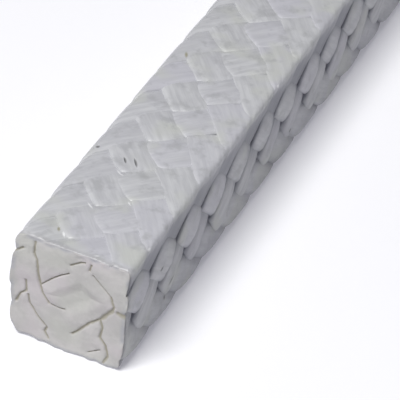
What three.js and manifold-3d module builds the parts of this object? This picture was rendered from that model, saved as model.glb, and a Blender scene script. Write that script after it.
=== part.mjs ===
import * as THREE from 'three';
import { mergeVertices } from 'three/addons/utils/BufferGeometryUtils.js';
import Module from 'manifold-3d';

// A straight cut length of square braided gland packing, lying flat on one face.
// It runs along Y, with its open cut end at -Y and its underside at z = 0.
// Sizes are in millimetres and leans in degrees.

// Overall sizes
const section = 25; // side of the square, over the crowns of the strands
const cutLength = 165; // from cut face to cut face
const edgeRadius = 2.4; // rounding of the four long edges

// The braid
const strandPitch = 12.5; // from strand to strand along one column
const edgeReach = 0.256; // how far round a long edge its strands show, as a share of a side
const innerReach = 0.12; // the same for the strands that lie between the edges
const strandLap = 0.2; // run of a strand's end under its neighbour
const shoulder = 1.05; // width of the slope round a strand's flat crown
const grooveDepth = 1.1; // from the crowns down to the bundle below
const footBedding = 0.12; // how far the foot of that slope lies in the bundle
const rootDepth = 1.0; // how far a strand's root lies in the bundle
const sharpestBundleEdge = 0.3; // least rounding of the bundle's long edges
const strandSides = 8; // facets round one strand
const strandFullness = 2.6; // 2 is an oval strand, more is a squarer one

// The splits that open between yarns on a cut face
const splitWidth = 0.55;
const splitDepth = 1.2;
const splitTip = 0.35; // width of a split's two ends, as a share of its own

// One entry for each column, in order round the section from the upper left edge.
// The first, fourth, seventh and tenth columns bend over the long edges.
// around is the column's middle, counted in sides of the section.
// start is the place of the first strand, as a share of the pitch.
const columns = [
  { around: 0, lean: -38, start: 0.86 },
  { around: 0.376, lean: 40, start: 0.77 },
  { around: 0.616, lean: -42, start: 0.18 },
  { around: 0.992, lean: 35, start: 0.09 },
  { around: 1.328, lean: -40, start: 0.4 },
  { around: 1.56, lean: 40, start: 0.99 },
  { around: 1.992, lean: -34, start: 0.86 },
  { around: 2.376, lean: 40, start: 0.63 },
  { around: 2.616, lean: -41, start: 0.12 },
  { around: 3, lean: 35, start: 0.38 },
  { around: 3.372, lean: -40, start: 0.79 },
  { around: 3.608, lean: 40, start: 0.28 },
];

// Splits on the open cut face, as corner points [across, up] in shares of the section
const openFaceSplits = [
  [[-0.33, 0.95], [-0.33, 0.84], [-0.28, 0.65], [-0.24, 0.52], [-0.16, 0.41]],
  [[-0.25, 0.555], [-0.16, 0.66], [-0.03, 0.77]],
  [[0.18, 0.84], [0.27, 0.77], [0.36, 0.69], [0.39, 0.61], [0.375, 0.56]],
  [[0.39, 0.58], [0.3, 0.45], [0.2, 0.36], [0.09, 0.22], [0.06, 0.19]],
  [[0.29, 0.41], [0.3, 0.26], [0.36, 0.19], [0.385, 0.1], [0.355, 0.035]],
  [[-0.38, 0.555], [-0.37, 0.45], [-0.41, 0.41], [-0.44, 0.33]],
  [[-0.34, 0.42], [-0.33, 0.34], [-0.26, 0.26], [-0.155, 0.17], [-0.13, 0.07]],
];

// The far cut face is plain, with the four splits round its middle bundle
const farFaceSplits = [
  [[-0.26, 0.56], [-0.03, 0.79]],
  [[0.05, 0.81], [0.34, 0.6]],
  [[0.34, 0.5], [0.06, 0.2]],
  [[-0.05, 0.21], [-0.27, 0.48]],
];

const wasm = await Module();
wasm.setup();

// A closed geometry as a solid that can be joined and cut
function solidOf(geometry) {
  geometry.deleteAttribute('normal');
  geometry.deleteAttribute('uv');
  const merged = mergeVertices(geometry, 1e-4);
  const vertProperties = new Float32Array(merged.attributes.position.array);
  const triVerts = new Uint32Array(merged.index.array);
  return new wasm.Manifold(new wasm.Mesh({ numProp: 3, vertProperties, triVerts }));
}

// A finished solid as a geometry again
function geometryOf(solid) {
  const mesh = solid.getMesh();
  const geometry = new THREE.BufferGeometry();
  const positions = new Float32Array(mesh.vertProperties);
  geometry.setAttribute('position', new THREE.BufferAttribute(positions, 3));
  geometry.setIndex(new THREE.BufferAttribute(new Uint32Array(mesh.triVerts), 1));
  return geometry;
}

// The point at a distance round the section, starting from the upper left edge,
// at a height over the crowns (below them where it is negative)
function pointOnSection(around, height) {
  const side = Math.floor(around / section + 0.5);
  const pastEdge = around - side * section;
  const edgeX = edgeRadius - section / 2;
  const edgeZ = section / 2 - edgeRadius;
  const point = new THREE.Vector2(edgeX, edgeZ);
  const reach = Math.max(edgeRadius + height, 0);
  if (pastEdge > edgeRadius) {
    point.add(new THREE.Vector2(pastEdge - edgeRadius, edgeRadius + height));
  } else if (pastEdge < -edgeRadius) {
    point.add(new THREE.Vector2(-edgeRadius - height, pastEdge + edgeRadius));
  } else {
    const turn = ((pastEdge / edgeRadius + 1) * Math.PI) / 4;
    point.add(new THREE.Vector2(-Math.cos(turn) * reach, Math.sin(turn) * reach));
  }
  point.rotateAround(new THREE.Vector2(0, 0), (-side * Math.PI) / 2);
  return point;
}

// A superellipse's coordinate from the sine or cosine of its turn
function fullCurve(share) {
  return Math.sign(share) * Math.abs(share) ** (2 / strandFullness);
}

// One strand where it lies on the surface: a cushion with a flat crown, bedded below
function strandSolid(columnIndex, centreAlong) {
  const lean = THREE.MathUtils.degToRad(columns[columnIndex].lean);
  const leanSine = Math.sin(Math.abs(lean));
  const reach = columnIndex % 3 === 0 ? edgeReach : innerReach;
  const halfLength = (reach * section) / leanSine + strandLap;
  const halfWidth = (strandPitch * leanSine) / 2;
  const cushion = new THREE.SphereGeometry(1, strandSides, 4);
  cushion.rotateX(Math.PI / 2).rotateZ(Math.PI / strandSides);
  const place = cushion.attributes.position;
  for (let i = 0; i < place.count; i += 1) {
    const isPole = Math.hypot(place.getX(i), place.getY(i)) < 0.1;
    const isFoot = Math.abs(place.getZ(i)) < 0.1;
    const isCrown = place.getZ(i) > 0.1;
    const turn = Math.atan2(place.getY(i), place.getX(i));
    const inset = isFoot ? 0 : shoulder;
    const forward = isPole ? 0 : (halfLength - inset) * fullCurve(Math.cos(turn));
    const sideways = isPole ? 0 : (halfWidth - inset) * fullCurve(Math.sin(turn));
    const across = forward * Math.sin(lean) + sideways * Math.cos(lean);
    const along = forward * Math.cos(lean) - sideways * Math.sin(lean);
    const bedding = isFoot ? footBedding : rootDepth;
    const height = isCrown ? 0 : -grooveDepth - bedding;
    const point = pointOnSection(columns[columnIndex].around * section - across, height);
    place.setXYZ(i, point.x, centreAlong + along, point.y);
  }
  return solidOf(cushion);
}

// The bundle of inner yarns under the surface strands
function bundleSolid() {
  const half = section / 2 - grooveDepth;
  const radius = Math.max(edgeRadius - grooveDepth, sharpestBundleEdge);
  const outline = new THREE.Shape();
  outline.absarc(half - radius, half - radius, radius, 0, Math.PI / 2);
  outline.absarc(radius - half, half - radius, radius, Math.PI / 2, Math.PI);
  outline.absarc(radius - half, radius - half, radius, Math.PI, 1.5 * Math.PI);
  outline.absarc(half - radius, radius - half, radius, 1.5 * Math.PI, 2 * Math.PI);
  const depth = cutLength + 2 * strandPitch;
  const bundle = new THREE.ExtrudeGeometry(outline, { depth, bevelEnabled: false, curveSegments: 3 });
  bundle.rotateX(-Math.PI / 2).translate(0, -depth / 2, 0);
  return solidOf(bundle);
}

// A narrow trench that follows the split's points, across one cut face
function splitSolid(points, faceAlong) {
  const centres = points.map(
    ([across, up]) => new THREE.Vector2(across * section, (up - 0.5) * section),
  );
  const left = [];
  const right = [];
  centres.forEach((centre, i) => {
    const before = centres[Math.max(i - 1, 0)];
    const after = centres[Math.min(i + 1, centres.length - 1)];
    const direction = after.clone().sub(before).normalize();
    const isTip = i === 0 || i === centres.length - 1;
    const reach = (isTip ? splitTip : 1) * (splitWidth / 2);
    const offset = new THREE.Vector2(-direction.y, direction.x).multiplyScalar(reach);
    left.push(centre.clone().add(offset));
    right.push(centre.clone().sub(offset));
  });
  const outline = new THREE.Shape([...right, ...left.reverse()]);
  const depth = 2 * splitDepth;
  const trench = new THREE.ExtrudeGeometry(outline, { depth, bevelEnabled: false });
  trench.translate(0, 0, -splitDepth).rotateX(Math.PI / 2).translate(0, faceAlong, 0);
  return solidOf(trench);
}

function braidedPacking() {
  const rows = Math.ceil(cutLength / strandPitch) + 1;
  let packing = bundleSolid();
  for (let column = 0; column < columns.length; column += 1) {
    for (let row = -1; row < rows; row += 1) {
      const along = (row + columns[column].start) * strandPitch - cutLength / 2;
      packing = packing.add(strandSolid(column, along));
    }
  }
  const kept = solidOf(new THREE.BoxGeometry(2 * section, cutLength, 2 * section));
  packing = packing.intersect(kept);
  for (const points of openFaceSplits) {
    packing = packing.subtract(splitSolid(points, -cutLength / 2));
  }
  for (const points of farFaceSplits) {
    packing = packing.subtract(splitSolid(points, cutLength / 2));
  }
  return geometryOf(packing).translate(0, 0, section / 2);
}

const yarn = new THREE.MeshStandardMaterial({ color: 0xc9c9c9, roughness: 0.6, metalness: 0 });
const packingMesh = new THREE.Mesh(braidedPacking(), yarn);
packingMesh.name = 'braided_packing';

const part = new THREE.Group();
part.add(packingMesh);

export default part;
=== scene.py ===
import math
import random

import bmesh
import bpy
from mathutils import Matrix, Vector, noise
from mathutils.bvhtree import BVHTree


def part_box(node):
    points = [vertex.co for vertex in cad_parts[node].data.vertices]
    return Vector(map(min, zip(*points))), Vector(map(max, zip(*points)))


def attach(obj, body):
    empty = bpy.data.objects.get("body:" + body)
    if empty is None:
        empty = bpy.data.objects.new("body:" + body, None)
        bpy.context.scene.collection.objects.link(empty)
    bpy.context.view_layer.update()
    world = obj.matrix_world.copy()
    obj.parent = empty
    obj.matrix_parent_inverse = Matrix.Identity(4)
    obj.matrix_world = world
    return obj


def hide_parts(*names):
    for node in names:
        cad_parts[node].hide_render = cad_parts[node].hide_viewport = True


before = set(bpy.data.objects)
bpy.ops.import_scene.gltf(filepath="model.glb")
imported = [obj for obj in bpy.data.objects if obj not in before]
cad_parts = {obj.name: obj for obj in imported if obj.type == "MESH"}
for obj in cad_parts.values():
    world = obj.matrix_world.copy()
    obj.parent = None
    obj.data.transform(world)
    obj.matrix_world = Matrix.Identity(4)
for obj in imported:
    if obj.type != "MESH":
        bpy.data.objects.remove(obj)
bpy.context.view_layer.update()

mm = 0.001
low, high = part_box("braided_packing")
section = high.z - low.z
cutLength = high.y - low.y
nearCut = low.y
farCut = high.y
middleHeight = (low.z + high.z) / 2

# The braid that the surface strands follow, column by column round the section from the
# upper left edge. Every third column bends over a long edge. Around is the column's middle,
# start the place of its first strand as a share of the pitch, puff how far its strands swell,
# and loose how little the press flattened them, from below 0 where it bore hardest up to 1.
# Some columns also have a nearReach or a depth of their own, a level that lies deeper than the
# rest, or a dip of their near ends under the next column.
braid = {
    "strandPitch": 12.5 * mm,
    "edgeReach": 6.4 * mm,  # from an edge column's middle to its next columns
    "innerReach": 3.0 * mm,
    "edgeRadii": [2.0 * mm, 0.9 * mm, 1.8 * mm, 2.6 * mm],  # from the upper left edge
    "columns": [
        {"around": 0.0 * mm, "lean": -38, "start": 0.86, "puff": 0.22 * mm, "loose": 0.3},
        {"around": 9.4 * mm, "lean": 40, "start": 0.77, "puff": 0.10 * mm, "loose": 0.0},
        {"around": 15.4 * mm, "lean": -42, "start": 0.18, "puff": 0.10 * mm, "loose": 0.0},
        {"around": 24.8 * mm, "lean": 35, "start": 0.09, "puff": 0.03 * mm, "loose": -0.7,
         "nearReach": 6.9 * mm, "depth": 0.42 * mm, "dip": 0.40 * mm},
        {"around": 33.7 * mm, "lean": -40, "start": 0.45, "puff": 0.30 * mm, "loose": 0.7},
        {"around": 40.0 * mm, "lean": 40, "start": 0.895, "puff": 0.36 * mm, "loose": 0.6,
         "nearReach": 3.3 * mm, "level": -0.06 * mm},
        {"around": 50.3 * mm, "lean": -34, "start": 0.92, "puff": 0.34 * mm, "loose": 0.6,
         "nearReach": 9.7 * mm, "level": -0.12 * mm},
        {"around": 59.4 * mm, "lean": 40, "start": 0.63, "puff": 0.14 * mm, "loose": 0.0},
        {"around": 65.4 * mm, "lean": -41, "start": 0.12, "puff": 0.14 * mm, "loose": 0.0},
        {"around": 75.0 * mm, "lean": 35, "start": 0.38, "puff": 0.36 * mm, "loose": 0.5},
        {"around": 84.3 * mm, "lean": -40, "start": 0.79, "puff": 0.36 * mm, "loose": 0.6},
        {"around": 90.2 * mm, "lean": 40, "start": 0.28, "puff": 0.36 * mm, "loose": 0.6},
    ],
}


def blendStep(start, end, value):
    share = min(max((value - start) / (end - start), 0.0), 1.0)
    return share * share * (3 - 2 * share)


def softCap(value, cap, softness):
    # the lower of two heights, with the corner between them rounded off
    gap = max(softness - abs(value - cap), 0.0) / softness
    return min(value, cap) - gap * gap * softness / 4


def pointOnSection(around, height):
    # x and z at a distance round the section, at a height over its flat sides
    side = math.floor(around / section + 0.5)
    pastEdge = around - side * section
    radius = braid["edgeRadii"][side % 4]
    x = radius - section / 2
    z = section / 2 - radius
    if pastEdge > radius:
        x += pastEdge - radius
        z += radius + height
    elif pastEdge < -radius:
        x -= radius + height
        z += pastEdge + radius
    else:
        turn = (pastEdge / radius + 1) * math.pi / 4
        reach = max(radius + height, 0.0)
        x -= math.cos(turn) * reach
        z += math.sin(turn) * reach
    for quarter in range(side % 4):
        x, z = z, -x
    return x, z + middleHeight


# How the open end has relaxed since it was cut, and how the right side stands out. Bands are
# the two places that a change grows between, as shares of the section.
relaxed = {
    "topRoll": 1.1 * mm,  # radius at which the top strands roll down over the cut
    "topBand": (0.78, 0.98),
    "ragged": 0.45,  # how uneven that radius is
    "raggedSpan": 2.6 * mm,
    "sideSwell": 0.45 * mm,  # the left side swells beside the cut
    "sideReach": 9.0 * mm,
    "sideBand": (0.7, 1.0),
    "cornerDraw": 0.9 * mm,  # the lower left corner draws in
    "cornerReach": 6.0 * mm,
    "cornerBand": (1.45, 2.0),
    "rightSwell": 0.45 * mm,
    "rightBand": (0.45, 0.5),
    "rightTopBand": (0.0, 0.75),
    "rightFootBand": (0.93, 1.05),
}


def relax(point):
    fromCut = max(point.y - nearCut, 0.0)
    up = (point.z - low.z) / section
    left = 0.5 - point.x / section
    unevenly = noise.noise(Vector((point.x / relaxed["raggedSpan"], 3.1, 0.7)))
    roll = relaxed["topRoll"] * (1.0 + relaxed["ragged"] * unevenly)
    bend = max(1 - fromCut / roll, 0.0)
    point.z -= roll * (1 - math.sqrt(1 - bend * bend)) * blendStep(*relaxed["topBand"], up)
    swell = (1 - blendStep(0.0, relaxed["sideReach"], fromCut)) * blendStep(*relaxed["sideBand"], left)
    belly = math.sin(math.pi * min(max(up, 0.0), 1.0))
    point.x -= relaxed["sideSwell"] * swell * belly
    inCorner = blendStep(*relaxed["cornerBand"], left + 1 - up)
    draw = (1 - blendStep(0.0, relaxed["cornerReach"], fromCut)) * inCorner
    point.x += relaxed["cornerDraw"] * draw
    point.z += relaxed["cornerDraw"] * draw
    if point.x > 0:
        start, end = relaxed["rightBand"]
        rise = blendStep(start * section, end * section, point.x)
        rise *= blendStep(*relaxed["rightTopBand"], 1 - up)
        point.x += relaxed["rightSwell"] * rise * (1 - blendStep(*relaxed["rightFootBand"], 1 - up))
    point.z = max(point.z, low.z)
    return point


# One surface strand: a flattened yarn that comes up over its neighbours with its near end and
# flank, runs across the side, and sinks away under the next ones. What a value that begins with
# loose says comes on top where a strand is fully loose, as a length or as a share.
strand = {
    "lengthFaces": 28,
    "widthFaces": 24,
    "nearLap": 0.35 * mm,
    "looseLap": 0.35 * mm,
    "farFlankRun": 1.9 * mm,
    "looseFlankRun": -0.55,
    "farEndRun": 2.4 * mm,
    "looseEndRun": 0.3,
    "crownDepth": 0.75 * mm,  # from its crown down to its rim
    "looseDepth": 0.20 * mm,
    "rootDepth": 0.9 * mm,
    "rimThickness": 0.1 * mm,
    "nearFullness": 3.6,  # the near flank and end are squarer
    "looseNearFullness": -0.5,
    "farFullness": 2.5,  # the far ones slope away
    "looseFarFullness": -0.3,
    "sideTilt": 0.14 * mm,
    "endTilt": 0.10 * mm,
    "looseEndTilt": 1.2,
    "dipRun": (-0.2, 0.6),  # where a dip starts and is full, as shares of the near length
    "endFall": 0.4,  # how puff is shared out between its ends and its flanks
    "sideFall": 0.6,
    "looseFallShift": 0.3,
    "nearNarrowing": 0.36,
    "farNarrowing": 0.12,
    "narrowing": 0.7,
    "looseNarrowing": -0.25,
    "nearRounding": 0.24,
    "farRounding": 0.10,
    "plies": 5.5,
    "plyDepth": 0.022 * mm,
    "plyWander": 2,
    "unevenness": 0.12 * mm,
    "pressed": 0.10 * mm,  # softness of the flat that the calender leaves
    "endSkin": 0.30 * mm,  # near a cut only its skin is made, round the cut face's own piece
    "endSkinRun": (1.5 * mm, 4 * mm),
    "endRecess": 0.75 * mm,
}
# How far strands differ from each other, each way or from least to most
variety = {
    "lean": 2.2,  # degrees
    "nearFlank": (0.96, 1.03),
    "nearEnd": (0.4, 2.0),
    "along": 0.25 * mm,
    "around": 0.2 * mm,
    "lift": 0.14 * mm,
    "tightLift": 0.6,  # share of the lift that a pressed strand keeps
    "bow": 0.5 * mm,
    "endRecess": (0.85, 1.15),
}
# Painted shade in the grooves, and on the right side, painted darkest by its top edge
paintedShade = {
    "grooveShade": 0.72,
    "grooveStart": 0.10 * mm,  # depth under the crowns where it begins
    "puffStart": 0.2,
    "grooveRun": 0.5 * mm,
    "depthRun": 0.5,
    "right": 0.42,
    "rightStart": (0.4 * mm, 2.0 * mm),  # past the upper edge
    "rightEnd": (1.0 * mm, 3.0 * mm),  # past the lower edge
    "topEdge": 1.4,
    "topEdgeFade": 0.52,
    "topEdgeRun": (4 * mm, 8 * mm),
}


def jitter(dice, reach):
    return dice.uniform(-reach, reach)


def crowd(share):
    # grid lines drawn towards both rims, where the strand curves most
    return 0.35 * share + 0.65 * math.sin(share * math.pi / 2)


def rimCurve(share, fullness):
    return max(1 - abs(share) ** fullness, 0.0) ** (1 / fullness)


# painted shade over the right side, darkest by its upper edge
def rightSideShade(around):
    start, full = paintedShade["rightStart"]
    onRight = blendStep(section + start, section + full, around)
    start, full = paintedShade["rightEnd"]
    onRight *= 1 - blendStep(2 * section + start, 2 * section + full, around)
    start, full = paintedShade["topEdgeRun"]
    fromTop = blendStep(section + start, section + full, around)
    return paintedShade["right"] * onRight * (paintedShade["topEdge"] - paintedShade["topEdgeFade"] * fromTop)


def planStrand(columnIndex, centreAlong, dice):
    # one strand's own measures
    column = braid["columns"][columnIndex]
    loose = column["loose"]
    lap = strand["nearLap"] + strand["looseLap"] * loose
    slant = math.sin(abs(math.radians(column["lean"])))
    flank = braid["strandPitch"] * slant / 2
    reach = braid["innerReach"] if columnIndex % 3 else braid["edgeReach"]
    own = {"loose": loose, "puff": column["puff"], "dip": column.get("dip", 0.0)}
    own["depth"] = column.get("depth", strand["crownDepth"] + strand["looseDepth"] * loose)
    own["nearFullness"] = strand["nearFullness"] + strand["looseNearFullness"] * loose
    own["farFullness"] = strand["farFullness"] + strand["looseFarFullness"] * loose
    own["narrowing"] = strand["narrowing"] + strand["looseNarrowing"] * loose
    own["lean"] = math.radians(column["lean"] + jitter(dice, variety["lean"]))
    own["hand"] = 1 if own["lean"] > 0 else -1
    own["nearFlank"] = (flank + lap) * dice.uniform(*variety["nearFlank"])
    own["farFlank"] = flank + strand["farFlankRun"] * (1 + strand["looseFlankRun"] * loose)
    own["nearLength"] = column.get("nearReach", reach) / slant + lap * dice.uniform(*variety["nearEnd"])
    own["farLength"] = reach / slant + strand["farEndRun"] * (1 + strand["looseEndRun"] * loose)
    own["along"] = centreAlong + jitter(dice, variety["along"])
    own["around"] = column["around"] + jitter(dice, variety["around"])
    lift = jitter(dice, variety["lift"]) * (variety["tightLift"] + (1 - variety["tightLift"]) * loose)
    own["lift"] = column.get("level", 0.0) + lift
    own["bow"] = jitter(dice, variety["bow"])
    own["tone"] = dice.random()
    own["seed"] = dice.uniform(0, 90)
    own["recess"] = strand["endRecess"] * dice.uniform(*variety["endRecess"])
    return own


def shapeStrandVert(vert, layers, own):
    # moves a grid point to its place on the strand, and notes there what its material needs
    x = crowd(vert.co.x)
    y = crowd(vert.co.y)
    end = "near" if x < 0 else "far"
    flank = "near" if y * own["hand"] > 0 else "far"
    dome = rimCurve(x, own[end + "Fullness"]) * rimCurve(y, own[flank + "Fullness"])
    loose = own["loose"]
    seed = own["seed"]

    crown = own["lift"] + strand["sideTilt"] * y * own["hand"] * (1 - max(loose, 0.0))
    crown -= strand["endTilt"] * x * (1 + strand["looseEndTilt"] * loose)
    crown -= own["dip"] * blendStep(*strand["dipRun"], -x)
    fall = strand["endFall"] * (x + strand["looseFallShift"] * loose) ** 2 + strand["sideFall"] * y * y
    wander = strand["plyWander"] * noise.noise(Vector((x, y * 2, seed)))
    ply = math.cos(y * strand["plies"] * math.pi + wander)
    swell = noise.noise(Vector((x * 1.4 + seed, y * 1.8, seed)))
    height = crown - own["depth"] * (1 - dome) - own["puff"] * fall
    height += dome * (strand["plyDepth"] * ply + strand["unevenness"] * swell)
    height = softCap(height, 0.0, strand["pressed"])

    forward = own[end + "Length"] * x * math.sqrt(1 - strand[end + "Rounding"] * y * y)
    sideways = own[flank + "Flank"] * y
    sideways *= math.sqrt(1 - own["narrowing"] * strand[end + "Narrowing"] * x * x)
    sideways += own["bow"] * (x * x - 0.3)
    around = own["around"] - forward * math.sin(own["lean"]) - sideways * math.cos(own["lean"])
    along = own["along"] + forward * math.cos(own["lean"]) - sideways * math.sin(own["lean"])
    fromCut = min(along - nearCut, farCut - along)
    if vert.co.z < -0.5:
        root = crown - own["depth"] - own["puff"] * fall - strand["rimThickness"]
        root -= strand["rootDepth"] * dome
        deep = blendStep(*strand["endSkinRun"], fromCut)
        height = deep * root + (1 - deep) * (height - strand["endSkin"])

    # painted shade: the deeper a place lies under the crowns the darker, with the right side's painted
    # shade on top
    sunk = -height - paintedShade["grooveStart"] - paintedShade["puffStart"] * own["puff"]
    sunk /= paintedShade["grooveRun"] + paintedShade["depthRun"] * own["depth"]
    vert[layers["grooveShade"]] = min(max(sunk, 0.0), 1.0) * paintedShade["grooveShade"] + rightSideShade(around)
    vert[layers["tone"]] = own["tone"]
    # how strongly painted shade darkens the yarn beside a cut
    vert[layers["lipShade"]] = 1 - blendStep(0.0, yarn["lipReach"], fromCut)
    vert[layers["forward"]] = forward / mm + seed
    vert[layers["sideways"]] = sideways / mm + seed
    px, pz = pointOnSection(around, height)
    vert.co = relax(Vector((px, along, pz)))


def addStrand(bm, layers, own):
    grid = bmesh.ops.create_grid(bm, x_segments=strand["lengthFaces"], y_segments=strand["widthFaces"],
                                 size=1)
    top = grid["verts"]
    sheet = list(dict.fromkeys(face for vert in top for face in vert.link_faces))
    copied = bmesh.ops.extrude_face_region(bm, geom=sheet)
    under = [item for item in copied["geom"] if isinstance(item, bmesh.types.BMVert)]
    for vert in under:
        vert.co.z = -1
    for vert in top + under:
        shapeStrandVert(vert, layers, own)
    cutFlush(bm, top + under, nearCut + own["recess"], -1)
    cutFlush(bm, [vert for vert in top + under if vert.is_valid], farCut - own["recess"], 1)


def cutFlush(bm, verts, cutAt, facing):
    if not any((vert.co.y - cutAt) * facing > 0 for vert in verts):
        return
    # each edge and face once, in an order that a set wouldn't keep
    edges = list(dict.fromkeys(edge for vert in verts for edge in vert.link_edges))
    faces = list(dict.fromkeys(face for vert in verts for face in vert.link_faces))
    cut = bmesh.ops.bisect_plane(bm, geom=verts + edges + faces, plane_co=(0, cutAt, 0),
                                 plane_no=(0, facing, 0), clear_outer=True)
    rims = [item for item in cut["geom_cut"] if isinstance(item, bmesh.types.BMEdge)]
    bmesh.ops.holes_fill(bm, edges=rims, sides=0)


def finishPiece(bm, name, material, smooth=True):
    mesh = bpy.data.meshes.new(name)
    bm.to_mesh(mesh)
    bm.free()
    for polygon in mesh.polygons:
        polygon.use_smooth = smooth
    mesh.materials.append(material)
    piece = bpy.data.objects.new(name, mesh)
    bpy.context.scene.collection.objects.link(piece)
    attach(piece, "root")
    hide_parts("braided_packing")
    return piece


# Shader values written as plain maths
class Value:
    def __init__(self, paint, socket):
        self.paint = paint
        self.socket = socket

    def maths(self, operation, first, second):
        return self.paint.node("ShaderNodeMath", {"operation": operation}, {0: first, 1: second})

    def __add__(self, other):
        return self.maths("ADD", self, other)

    def __radd__(self, other):
        return self.maths("ADD", other, self)

    def __sub__(self, other):
        return self.maths("SUBTRACT", self, other)

    def __rsub__(self, other):
        return self.maths("SUBTRACT", other, self)

    def __mul__(self, other):
        return self.maths("MULTIPLY", self, other)

    def __rmul__(self, other):
        return self.maths("MULTIPLY", other, self)


class Paint:
    def __init__(self, name):
        self.material = bpy.data.materials.new(name)
        self.material.use_nodes = True
        self.tree = self.material.node_tree
        self.shader = self.tree.nodes["Principled BSDF"]

    def node(self, kind, settings, sockets, output=0):
        made = self.tree.nodes.new(kind)
        for key, value in settings.items():
            setattr(made, key, value)
        for key, value in sockets.items():
            self.feed(made.inputs[key], value)
        return Value(self, made.outputs[output])

    def feed(self, socket, value):
        if isinstance(value, Value):
            self.tree.links.new(value.socket, socket)
        else:
            socket.default_value = value

    def attribute(self, name):
        return self.node("ShaderNodeAttribute", {"attribute_name": name}, {}, "Fac")

    def place(self):
        return self.node("ShaderNodeTexCoord", {}, {}, "Object")

    def together(self, x, y, z):
        return self.node("ShaderNodeCombineXYZ", {}, {0: x, 1: y, 2: z})

    def blotches(self, vector, scale, detail=3.0, roughness=0.5):
        sockets = {"Vector": vector, "Scale": scale, "Detail": detail, "Roughness": roughness}
        return self.node("ShaderNodeTexNoise", {"noise_dimensions": "3D"}, sockets, "Fac")

    def spread(self, value, start, end):
        settings = {"interpolation_type": "SMOOTHSTEP", "clamp": True}
        sockets = {"Value": value, "From Min": start, "From Max": end}
        return self.node("ShaderNodeMapRange", settings, sockets)

    def mixed(self, share, first, second, blend="MIX"):
        settings = {"data_type": "RGBA", "blend_type": blend, "clamp_factor": True}
        return self.node("ShaderNodeMix", settings, {0: share, 6: first, 7: second}, 2)

    def tinted(self, values, name, base, value):
        # the base, tinted with a named colour where the value lies in that colour's band
        share = self.spread(value, *values[name + "Band"]) * values[name + "Share"]
        return self.mixed(share, base, values[name])

    def spot(self, mark):
        # 1 inside a small stretched mark on the surface, 0 outside
        sockets = {
            "Vector": self.place(),
            "Location": [value * mm for value in mark["at"]],
            "Rotation": [math.radians(angle) for angle in mark["turn"]],
            "Scale": [value * mm for value in mark["size"]],
        }
        inside = self.node("ShaderNodeMapping", {"vector_type": "TEXTURE"}, sockets)
        reach = self.node("ShaderNodeVectorMath", {"operation": "LENGTH"}, {0: inside}, 1)
        return 1 - self.spread(reach, 0.2, 1.0)

    def spots(self, group):
        return sum((self.spot(mark) for mark in group[1:]), self.spot(group[0]))

    def bumped(self, height, distance, strength, under=None):
        sockets = {"Height": height, "Distance": distance, "Strength": strength}
        if under is not None:
            sockets["Normal"] = under
        return self.node("ShaderNodeBump", {}, sockets)

    def set(self, name, value):
        self.feed(self.shader.inputs[name], value)


# Small marks that the surface carries, and small painted highlights: a place and a size along each axis
# in millimetres, and a turn in degrees
marks = {
    "pits": [
        {"at": (-4.1, -49.9, 24.9), "size": (0.30, 1.3, 1), "turn": (0, 0, 34)},
        {"at": (-1.9, -49.5, 24.9), "size": (0.34, 1.9, 1), "turn": (0, 0, 34)},
        {"at": (-10.8, -48.7, 24.9), "size": (0.5, 0.6, 1), "turn": (0, 0, 0)},
        {"at": (12.4, -66.2, 15.4), "size": (1, 1.0, 0.6), "turn": (0, 0, 0)},
        {"at": (12.4, -62.3, 5.2), "size": (1, 0.8, 0.7), "turn": (0, 0, 0)},
        {"at": (12.4, 1.7, 6.6), "size": (1, 0.7, 0.7), "turn": (0, 0, 0)},
        {"at": (12.4, -27.7, 10.2), "size": (1, 0.7, 0.6), "turn": (0, 0, 0)},
        {"at": (12.4, -60.2, 8.4), "size": (1, 2.0, 0.7), "turn": (24, 0, 0)},
    ],
    "stains": [
        {"at": (-8.9, -9.6, 24.9), "size": (0.5, 1.3, 1), "turn": (0, 0, 24)},
        {"at": (-5.8, -76.8, 24.9), "size": (0.45, 1.1, 1), "turn": (0, 0, 24)},
    ],
    "smudges": [
        {"at": (-8.6, -74.6, 24.9), "size": (3.2, 2.6, 2), "turn": (0, 0, 20)},
        {"at": (-3.4, -57.5, 24.9), "size": (1.6, 1.1, 2), "turn": (0, 0, 30)},
        {"at": (1.5, -53.0, 24.9), "size": (2.6, 1.2, 2), "turn": (0, 0, 40)},
        {"at": (-8.2, -61.0, 24.9), "size": (1.2, 3.2, 2), "turn": (0, 0, 70)},
        {"at": (6.3, -6.9, 24.9), "size": (0.8, 0.8, 2), "turn": (0, 0, 0)},
        {"at": (12.4, -81.6, 13.9), "size": (2, 3.0, 1.3), "turn": (12, 0, 0)},
    ],
    # painted highlights: small bright spots where strand rims and the upper right edge catch the light
    "paintedHighlights": [
        {"at": (-3.8, -66.7, 24.9), "size": (0.35, 1.5, 1), "turn": (0, 0, 52)},
        {"at": (-3.3, -53.9, 24.9), "size": (0.40, 1.6, 1), "turn": (0, 0, 60)},
        {"at": (4.4, -80.7, 24.6), "size": (0.30, 0.8, 1), "turn": (0, 0, -60)},
        {"at": (-4.2, -77.8, 24.9), "size": (0.35, 1.0, 1), "turn": (0, 0, 40)},
        {"at": (2.6, -62.0, 24.9), "size": (0.30, 0.9, 1), "turn": (0, 0, 50)},
        {"at": (12.1, -73.0, 24.9), "size": (0.4, 0.9, 1), "turn": (0, 0, 0)},
        {"at": (12.1, -8.9, 24.9), "size": (0.4, 0.8, 1), "turn": (0, 0, 0)},
    ],
}
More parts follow.
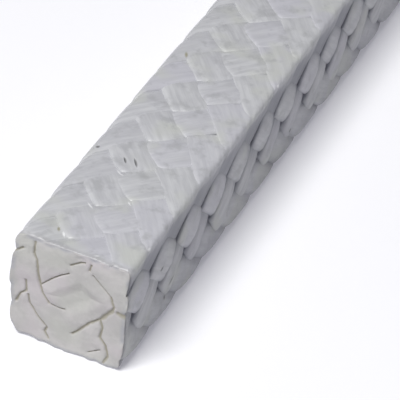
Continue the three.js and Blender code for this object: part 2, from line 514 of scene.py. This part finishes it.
# The waxed yarn. A colour's band is where the value that it follows rises from none to all,
# and its share is how strongly it then tints what lies under it.
yarn = {
    "light": (0.600, 0.604, 0.612, 1),
    "shade": (0.490, 0.493, 0.505, 1),
    "streakBand": (0.32, 0.70),
    "filaments": 3.1,  # to each millimetre
    "streaks": 0.9,
    "cool": (0.545, 0.538, 0.592, 1),
    "coolBand": (0.40, 0.85),
    "coolShare": 0.6,
    "warm": (0.556, 0.566, 0.528, 1),
    "warmBand": (0.48, 0.66),
    "warmShare": 0.8,
    "patch": (0.400, 0.405, 0.405, 1),
    "patchBand": (0.50, 0.68),
    "patchShare": 0.60,
    "lipShade": (0.410, 0.406, 0.412, 1),  # painted shade on the yarn that bends over beside a cut
    "lipShadeBand": (0.1, 0.8),
    "lipShadeShare": 0.9,
    "lipReach": 2.6 * mm,
    # painted shade colour for the grooves and the right side
    "grooveShade": (0.240, 0.245, 0.280, 1),
    "grooveShadeBand": (0.12, 0.95),
    "grooveShadeShare": 0.9,
    "smudge": (0.400, 0.405, 0.405, 1),
    "smudgeBand": (0.30, 0.55),
    "smudgeShare": 0.45,
    # the colour of the painted highlights
    "paintedHighlight": (0.900, 0.900, 0.900, 1),
    "paintedHighlightShare": 0.8,
    "stain": (0.250, 0.225, 0.090, 1),
    "stainShare": 0.65,
    "pit": (0.130, 0.130, 0.125, 1),
    "pitShare": 0.70,
    "pitDepth": 0.35 * mm,
    "roughness": 0.44,
    "streakGloss": 0.14,
    "grooveRoughness": 0.22,
    "relief": 0.10 * mm,
    "specular": 0.45,
    "sheen": 0.08,
}


def yarnMaterial():
    paint = Paint("waxed yarn")
    forward = paint.attribute("forward")
    sideways = paint.attribute("sideways")
    grooveShade = paint.attribute("grooveShade")
    tone = paint.attribute("tone")
    lipShade = paint.attribute("lipShade")
    alongFilaments = paint.together(forward * 0.10, sideways * yarn["filaments"], tone)
    alongStreaks = paint.together(forward * 0.16, sideways * yarn["streaks"], tone * 5)
    fine = paint.blotches(alongFilaments, 1.0, 2.0)
    broad = paint.blotches(alongStreaks, 1.0, 3.0)
    cloud = paint.blotches(paint.place(), 95.0, 2.0)
    patch = paint.blotches(paint.place(), 240.0, 4.0, 0.6)

    streaks = paint.spread(broad * 0.75 + fine * 0.25, *yarn["streakBand"])
    colour = paint.mixed(streaks, yarn["shade"], yarn["light"])
    colour = paint.tinted(yarn, "cool", colour, tone * 0.5 + patch * 0.6)
    colour = paint.tinted(yarn, "warm", colour, cloud)
    colour = paint.tinted(yarn, "patch", colour, patch)
    # painted shade beside the cuts, in patches, where the yarn rolls over them
    colour = paint.tinted(yarn, "lipShade", colour, lipShade + patch * 0.6 - 0.30)
    # painted shade in the grooves and over the right side
    colour = paint.tinted(yarn, "grooveShade", colour, grooveShade)

    smudges = paint.spots(marks["smudges"]) * paint.spread(patch, *yarn["smudgeBand"])
    pits = paint.spots(marks["pits"])
    colour = paint.mixed(smudges * yarn["smudgeShare"], colour, yarn["smudge"])
    # painted highlights
    colour = paint.mixed(paint.spots(marks["paintedHighlights"]) * yarn["paintedHighlightShare"], colour, yarn["paintedHighlight"])
    colour = paint.mixed(paint.spots(marks["stains"]) * yarn["stainShare"], colour, yarn["stain"])
    colour = paint.mixed(pits * yarn["pitShare"], colour, yarn["pit"])
    paint.set("Base Color", colour)

    roughness = yarn["roughness"] - yarn["streakGloss"] * broad + yarn["grooveRoughness"] * grooveShade
    paint.set("Roughness", roughness)
    pitted = paint.bumped(pits * -1.0, yarn["pitDepth"], 0.8)
    relief = fine * 0.4 + broad * 0.7 + patch * 0.5
    paint.set("Normal", paint.bumped(relief, yarn["relief"], 0.50, pitted))
    paint.set("Specular IOR Level", yarn["specular"])
    paint.set("Sheen Weight", yarn["sheen"])
    return paint.material


# The inner yarns, which show as no more than a dark ground in the deepest grooves
bundle = {
    "inset": 1.25 * mm,
    "endGap": 2.4 * mm,
    "rounding": 1.2 * mm,
    "colour": (0.33, 0.33, 0.33, 1),
    "roughness": 0.8,
}


def bundleMaterial():
    paint = Paint("shaded inner yarn")
    shaded = paint.spread(paint.blotches(paint.place(), 700.0, 3.0), 0.35, 0.7)
    # its grey is mixed with the painted groove shade colour
    paint.set("Base Color", paint.mixed(shaded, bundle["colour"], yarn["grooveShade"]))
    paint.set("Roughness", bundle["roughness"])
    return paint.material


def addBundle():
    bm = bmesh.new()
    bmesh.ops.create_cube(bm, size=1)
    side = section - 2 * bundle["inset"]
    bmesh.ops.scale(bm, vec=(side, cutLength - 2 * bundle["endGap"], side), verts=bm.verts)
    bmesh.ops.translate(bm, vec=(0, (nearCut + farCut) / 2, middleHeight), verts=bm.verts)
    longEdges = [edge for edge in bm.edges if abs(edge.verts[0].co.y - edge.verts[1].co.y) > section]
    bmesh.ops.bevel(bm, geom=longEdges, offset=bundle["rounding"], offset_type="OFFSET", affect="EDGES",
                    segments=4, profile=0.5, material=-1)
    return finishPiece(bm, "inner_bundle", bundleMaterial(), smooth=False)


# Surface strands, grouped by the side or long edge that they lie on
strandGroups = {
    "upper_left_edge_strands": [0],
    "top_strands": [1, 2],
    "upper_right_edge_strands": [3],
    "right_strands": [4, 5],
    "lower_right_edge_strands": [6],
    "under_strands": [7, 8],
    "lower_left_edge_strands": [9],
    "left_strands": [10, 11],
}


def addStrandGroup(name, columnIndexes, material):
    bm = bmesh.new()
    layerNames = ("grooveShade", "tone", "forward", "sideways", "lipShade")
    layers = {key: bm.verts.layers.float.new(key) for key in layerNames}
    rows = math.ceil(cutLength / braid["strandPitch"]) + 1
    for columnIndex in columnIndexes:
        for row in range(-1, rows):
            dice = random.Random(f"strand {columnIndex} {row}")
            start = braid["columns"][columnIndex]["start"]
            along = nearCut + (row + start) * braid["strandPitch"]
            addStrand(bm, layers, planStrand(columnIndex, along, dice))
    bmesh.ops.recalc_face_normals(bm, faces=bm.faces)
    return finishPiece(bm, name, material)


# The cut faces. Splits are corner points [across, up] in shares of the section, and a width in
# millimetres.
cutFace = {
    "faces": 180,
    "wall": 1.6 * mm,  # how far its rim goes back inside the strands
    "wallTaper": 0.03,
    "outlineAt": 1.0 * mm,  # distance from the cut at which the strands' outline is taken
    "leastInset": 0.75 * mm,  # where no strand is met, it reaches this far below the crowns
    "leastCorner": 0.62,  # or in a corner this far from the middle, as a share of the section
    "rimPull": 6,  # the higher, the closer to the rim the square grid bends to that outline
    "lipInset": 0.04 * mm,
    "lipRounding": 0.30 * mm,
    "lipSharpness": 26,
    "topRounding": 0.45 * mm,  # more along its top, where the strands roll over it
    "topBand": (0.89, 1.0),
    "mostRounding": 0.56 * mm,  # so that its rim stays in front of the strands' ends
    "raggedSpan": (1.8 * mm, 1.8 * mm),
    "splitDepth": 0.31 * mm,
    "splitSlope": 3.36,  # how far its sides slope away, in widths
    "wobbleSpan": (1.3 * mm, 1.3 * mm),
    "cellSwell": 0.42 * mm,
    "cellReach": 2.4 * mm,
    "flatRim": 8,
    "unevenness": 0.34 * mm,
    "unevenSpan": (4.5 * mm, 4.5 * mm),
    "fibreDepth": 0.03 * mm,
    "fibreSpan": (0.8 * mm, 0.6 * mm),
    "middleDepth": 0.62 * mm,  # the bundle in the middle stands back this far
    "middleSlope": (-0.3 * mm, 2.2 * mm),
    "middleWander": 0.6 * mm,
    "rimBand": (0.88, 0.99),
    "lowRim": 2.5 * mm,
}
middleBundle = [(-0.20, 0.50), (0.09, 0.72), (0.32, 0.615), (0.01, 0.355)]
openSplits = [
    {"width": 0.16, "points": [(-0.33, 0.95), (-0.333, 0.84), (-0.30, 0.78), (-0.276, 0.65),
                               (-0.253, 0.555)]},
    {"width": 0.15, "points": [(-0.253, 0.555), (-0.225, 0.486), (-0.163, 0.412)]},
    {"width": 0.08, "points": [(-0.163, 0.412), (-0.10, 0.40), (-0.03, 0.395)]},
    {"width": 0.09, "points": [(-0.253, 0.555), (-0.157, 0.657), (-0.08, 0.73), (-0.02, 0.77)]},
    {"width": 0.07, "points": [(0.184, 0.84), (0.264, 0.77), (0.355, 0.691)]},
    {"width": 0.17, "points": [(0.355, 0.691), (0.389, 0.611), (0.38, 0.57)]},
    {"width": 0.26, "points": [(0.38, 0.57), (0.36, 0.545), (0.297, 0.452)]},
    {"width": 0.18, "points": [(0.297, 0.452), (0.195, 0.361), (0.093, 0.225), (0.059, 0.191)]},
    {"width": 0.17, "points": [(0.286, 0.43), (0.309, 0.361), (0.298, 0.26), (0.355, 0.191),
                               (0.383, 0.10)]},
    {"width": 0.18, "points": [(0.383, 0.10), (0.355, 0.032)]},
    {"width": 0.14, "points": [(-0.378, 0.555), (-0.367, 0.452), (-0.413, 0.407), (-0.441, 0.327)]},
    {"width": 0.12, "points": [(-0.345, 0.42), (-0.327, 0.339), (-0.26, 0.26), (-0.157, 0.168)]},
    {"width": 0.15, "points": [(-0.157, 0.168), (-0.174, 0.123), (-0.134, 0.066)]},
    {"width": 0.16, "points": [(-0.497, 0.805), (-0.43, 0.86)]},
    {"width": 0.13, "points": [(-0.01, 0.861), (0.07, 0.918), (0.105, 0.93)]},
    {"width": 0.13, "points": [(0.161, 0.93), (0.15, 0.873)]},
    {"width": 0.36, "points": [(0.43, 0.565), (0.50, 0.555)]},
    {"width": 0.07, "points": [(0.218, 0.077), (0.309, 0.134)]},
]
plainSplits = [
    {"width": 0.13, "points": [(-0.26, 0.56), (-0.15, 0.68), (-0.03, 0.79)]},
    {"width": 0.13, "points": [(0.05, 0.81), (0.22, 0.72), (0.34, 0.6)]},
    {"width": 0.13, "points": [(0.34, 0.5), (0.20, 0.34), (0.06, 0.2)]},
    {"width": 0.13, "points": [(-0.05, 0.21), (-0.18, 0.32), (-0.27, 0.48)]},
]


def onFace(across, up):
    return Vector((across * section, low.z + up * section))


def distanceToLine(place, points):
    nearest = section
    for first, second in zip(points, points[1:]):
        run = second - first
        share = min(max((place - first).dot(run) / run.length_squared, 0.0), 1.0)
        nearest = min(nearest, (first + run * share - place).length)
    return nearest


def depthInside(place, corners):
    # how far a place lies inside a ring of corners that runs clockwise
    depth = section
    for first, second in zip(corners, corners[1:] + corners[:1]):
        run = (second - first).normalized()
        depth = min(depth, (place - first).dot(Vector((run.y, -run.x))))
    return depth


def outlineReaches(shell, cutAt, facing, count):
    # how far the strands reach from the middle of the section, direction by direction
    reaches = []
    middle = Vector((0, cutAt - facing * cutFace["outlineAt"], middleHeight))
    for step in range(count):
        turn = 2 * math.pi * step / count
        direction = Vector((math.cos(turn), 0, math.sin(turn)))
        hit = shell.ray_cast(middle + direction * section, -direction)[0]
        widest = max(abs(direction.x), abs(direction.z))
        least = min((section / 2 - cutFace["leastInset"]) / widest, section * cutFace["leastCorner"])
        reaches.append(max((hit - middle).length if hit else 0.0, least))
    return [(reaches[step - 1] + 2 * reaches[step] + reaches[(step + 1) % count]) / 4
            for step in range(count)]


def noiseOn(place, span, seed):
    return noise.noise(Vector((place.x / span[0], place.y / span[1], seed)))


def stretchedPlace(point, ring, reaches):
    # a point of the square grid, moved out to the strands' outline
    turn = math.atan2(point.y, point.x) % (2 * math.pi)
    count = len(reaches)
    reach = reaches[round(turn / (2 * math.pi) * count) % count] - cutFace["lipInset"]
    flat = max(point.length, 1e-6) / ring * section / 2
    stretch = (1 + (reach / flat - 1) * ring ** cutFace["rimPull"]) * section / 2
    return Vector((point.x * stretch, middleHeight + point.y * stretch))


def splitsNear(place, lines, seed):
    # how deep a place lies in a split, and how far out of all splits, each from 0 to 1
    depth = 0.0
    swell = 1.0
    wobble = 0.75 + 0.7 * abs(noiseOn(place, cutFace["wobbleSpan"], seed))
    for width, points in lines:
        away = distanceToLine(place, points)
        if away < cutFace["cellReach"]:
            depth = max(depth, 1 - blendStep(0.0, cutFace["splitSlope"], away / (width * wobble)))
            swell = min(swell, math.sqrt(away / cutFace["cellReach"]))
    return depth, swell


def lipRounding(place, ring, ragged):
    up = (place.y - low.z) / section
    rounding = cutFace["lipRounding"] * ring ** cutFace["lipSharpness"] * (0.8 + 1.2 * ragged)
    rounding += cutFace["topRounding"] * blendStep(*cutFace["topBand"], up) * (0.8 + 0.8 * ragged)
    return min(rounding, cutFace["mostRounding"])


def rimShade(place, ring, ragged):
    # the rim is dark in patches, and all along the lower edge
    isLow = 1 - blendStep(low.z, low.z + cutFace["lowRim"], place.y)
    patches = min(max(isLow, 0.55 + 1.3 * ragged, 0.0), 1.0)
    return blendStep(*cutFace["rimBand"], ring) * patches


def addCutFace(name, cutAt, facing, splits, shell, material, seed):
    lines = [(split["width"] * mm, [onFace(*point) for point in split["points"]]) for split in splits]
    middle = [onFace(*corner) for corner in middleBundle]
    reaches = outlineReaches(shell, cutAt, facing, 8 * cutFace["faces"])
    bm = bmesh.new()
    openness = bm.verts.layers.float.new("openness")
    rim = bm.verts.layers.float.new("rim")
    hollow = bm.verts.layers.float.new("hollow")
    bmesh.ops.create_grid(bm, x_segments=cutFace["faces"], y_segments=cutFace["faces"], size=1)
    for vert in bm.verts:
        ring = max(abs(vert.co.x), abs(vert.co.y), 1e-6)
        place = stretchedPlace(vert.co, ring, reaches)
        depth, swell = splitsNear(place, lines, seed)
        uneven = noiseOn(place, cutFace["unevenSpan"], seed)
        ragged = noiseOn(place, cutFace["raggedSpan"], seed + 3)
        fibrous = noiseOn(place, cutFace["fibreSpan"], seed + 7)
        inMiddle = depthInside(place, middle) + cutFace["middleWander"] * uneven
        sunk = blendStep(*cutFace["middleSlope"], inMiddle)
        inward = cutFace["cellSwell"] * (1 - swell) + cutFace["unevenness"] * (0.6 + uneven)
        inward *= 1 - ring ** cutFace["flatRim"]
        inward += cutFace["splitDepth"] * depth + cutFace["middleDepth"] * sunk
        inward += cutFace["fibreDepth"] * fibrous + lipRounding(place, ring, ragged)
        vert[openness] = depth
        vert[hollow] = sunk
        vert[rim] = rimShade(place, ring, ragged)
        vert.co = Vector((place.x, cutAt - facing * inward, place.y))
    outline = [edge for edge in bm.edges if edge.is_boundary]
    walled = bmesh.ops.extrude_edge_only(bm, edges=outline)
    for vert in [item for item in walled["geom"] if isinstance(item, bmesh.types.BMVert)]:
        vert.co.x *= 1 - cutFace["wallTaper"]
        vert.co.z += (middleHeight - vert.co.z) * cutFace["wallTaper"]
        vert.co.y -= facing * cutFace["wall"]
        vert[openness] = 0.0
    bmesh.ops.holes_fill(bm, edges=[edge for edge in bm.edges if edge.is_boundary], sides=0)
    bmesh.ops.recalc_face_normals(bm, faces=bm.faces)
    return finishPiece(bm, name, material)


cutYarn = {
    "light": (0.476, 0.462, 0.452, 1),
    "shade": (0.405, 0.396, 0.385, 1),
    "cloudBand": (0.36, 0.64),
    "rosy": (0.490, 0.452, 0.468, 1),
    "rosyBand": (0.50, 0.68),
    "rosyShare": 0.6,
    "mossy": (0.450, 0.452, 0.420, 1),
    "mossyBand": (0.34, 0.50),
    "mossyShare": 0.6,
    "rim": (0.330, 0.335, 0.360, 1),
    "rimBand": (0.1, 1.0),
    "rimShare": 0.75,
    "split": (0.320, 0.303, 0.245, 1),
    "splitBand": (0.15, 0.95),
    "splitShare": 0.95,
    "roughness": 0.62,
    "relief": 0.30 * mm,
}


def cutFaceMaterial():
    paint = Paint("cut yarn ends")
    grain = paint.blotches(paint.place(), 900.0, 3.0)
    cloud = paint.blotches(paint.place(), 210.0, 3.0, 0.55)
    drift = paint.blotches(paint.place(), 120.0, 1.0)
    clouds = paint.spread(cloud * 0.8 + grain * 0.2, *cutYarn["cloudBand"])
    colour = paint.mixed(clouds, cutYarn["shade"], cutYarn["light"])
    colour = paint.tinted(cutYarn, "rosy", colour, drift)
    mossy = 1 - paint.spread(drift, *cutYarn["mossyBand"])
    for share in (mossy, paint.attribute("hollow")):
        colour = paint.mixed(share * cutYarn["mossyShare"], colour, cutYarn["mossy"])
    colour = paint.tinted(cutYarn, "rim", colour, paint.attribute("rim"))
    colour = paint.tinted(cutYarn, "split", colour, paint.attribute("openness"))
    paint.set("Base Color", colour)
    paint.set("Roughness", cutYarn["roughness"] + 0.1 * grain)
    paint.set("Normal", paint.bumped(grain * 0.5 + cloud, cutYarn["relief"], 0.6))
    return paint.material


lights = {
    "sky": 0.08,
    "skyColour": (0.82, 0.84, 1.12, 1),
    "key": {"from": (-0.14, -0.50, 0.84), "away": 1.5, "size": 0.6, "power": 24.0},
}
floor = {
    "size": 3.0,
    "colour": (0.78, 0.78, 0.78, 1),
    "glow": 0.24,  # the table is lit from below too, so that it looks white
    "glowColour": (0.92, 0.91, 1.0, 1),
    "roughness": 0.9,
    "specular": 0.1,
}


def addStage():
    bm = bmesh.new()
    bmesh.ops.create_grid(bm, x_segments=1, y_segments=1, size=floor["size"])
    mesh = bpy.data.meshes.new("floor")
    bm.to_mesh(mesh)
    bm.free()
    paint = Paint("pale floor")
    paint.set("Base Color", floor["colour"])
    paint.set("Emission Color", floor["glowColour"])
    paint.set("Emission Strength", floor["glow"])
    paint.set("Roughness", floor["roughness"])
    paint.set("Specular IOR Level", floor["specular"])
    mesh.materials.append(paint.material)
    table = bpy.data.objects.new("floor", mesh)
    bpy.context.scene.collection.objects.link(table)


def addLight(name, light):
    data = bpy.data.lights.new(name, "AREA")
    data.energy = light["power"]
    data.size = light["size"]
    lamp = bpy.data.objects.new(name, data)
    direction = Vector(light["from"]).normalized()
    lamp.location = direction * light["away"]
    lamp.rotation_euler = direction.to_track_quat("Z", "Y").to_euler()
    bpy.context.scene.collection.objects.link(lamp)


def addLights():
    world = bpy.data.worlds.new("soft studio")
    world.use_nodes = True
    world.node_tree.nodes["Background"].inputs["Color"].default_value = lights["skyColour"]
    world.node_tree.nodes["Background"].inputs["Strength"].default_value = lights["sky"]
    bpy.context.scene.world = world
    addLight("key", lights["key"])


# The photograph's viewpoint in the part's own frame, with angles in degrees
view = {
    "azimuth": 19.53,
    "elevation": 37.48,
    "roll": 7.88,
    "distance": 690.4 * mm,
    "lens": 302.8,
    "aim": (8.78 * mm, -38.35 * mm, 12.5 * mm),
}


def addCamera():
    azimuth = math.radians(view["azimuth"])
    elevation = math.radians(view["elevation"])
    level = math.cos(elevation)
    back = Vector((math.sin(azimuth) * level, -math.cos(azimuth) * level, math.sin(elevation)))
    right = (-back).cross(Vector((0, 0, 1))).normalized()
    up = right.cross(-back)
    turn = Matrix.Rotation(math.radians(view["roll"]), 3, back)
    data = bpy.data.cameras.new("camera")
    data.lens = view["lens"]
    data.sensor_width = 36
    data.clip_start = 0.01
    camera = bpy.data.objects.new("camera", data)
    axes = Matrix((turn @ right, turn @ up, back)).transposed().to_4x4()
    axes.translation = Vector(view["aim"]) + back * view["distance"]
    camera.matrix_world = axes
    bpy.context.scene.collection.objects.link(camera)
    bpy.context.scene.camera = camera


addCamera()
addLights()
addStage()
print("camera, light and floor in place")

addBundle()
strandPaint = yarnMaterial()
pieces = []
for groupName, columnIndexes in strandGroups.items():
    pieces.append(addStrandGroup(groupName, columnIndexes, strandPaint))
print("surface strands laid:", sum(len(piece.data.polygons) for piece in pieces), "faces")

gathered = bmesh.new()
for piece in pieces + [bpy.data.objects["inner_bundle"]]:
    gathered.from_mesh(piece.data)
outerShell = BVHTree.FromBMesh(gathered)
gathered.free()
facePaint = cutFaceMaterial()
addCutFace("open_cut_face", nearCut, -1, openSplits, outerShell, facePaint, 3.7)
addCutFace("far_cut_face", farCut, 1, plainSplits, outerShell, facePaint, 21.2)
print("cut faces closed")

bpy.context.scene.view_settings.view_transform = "Standard"
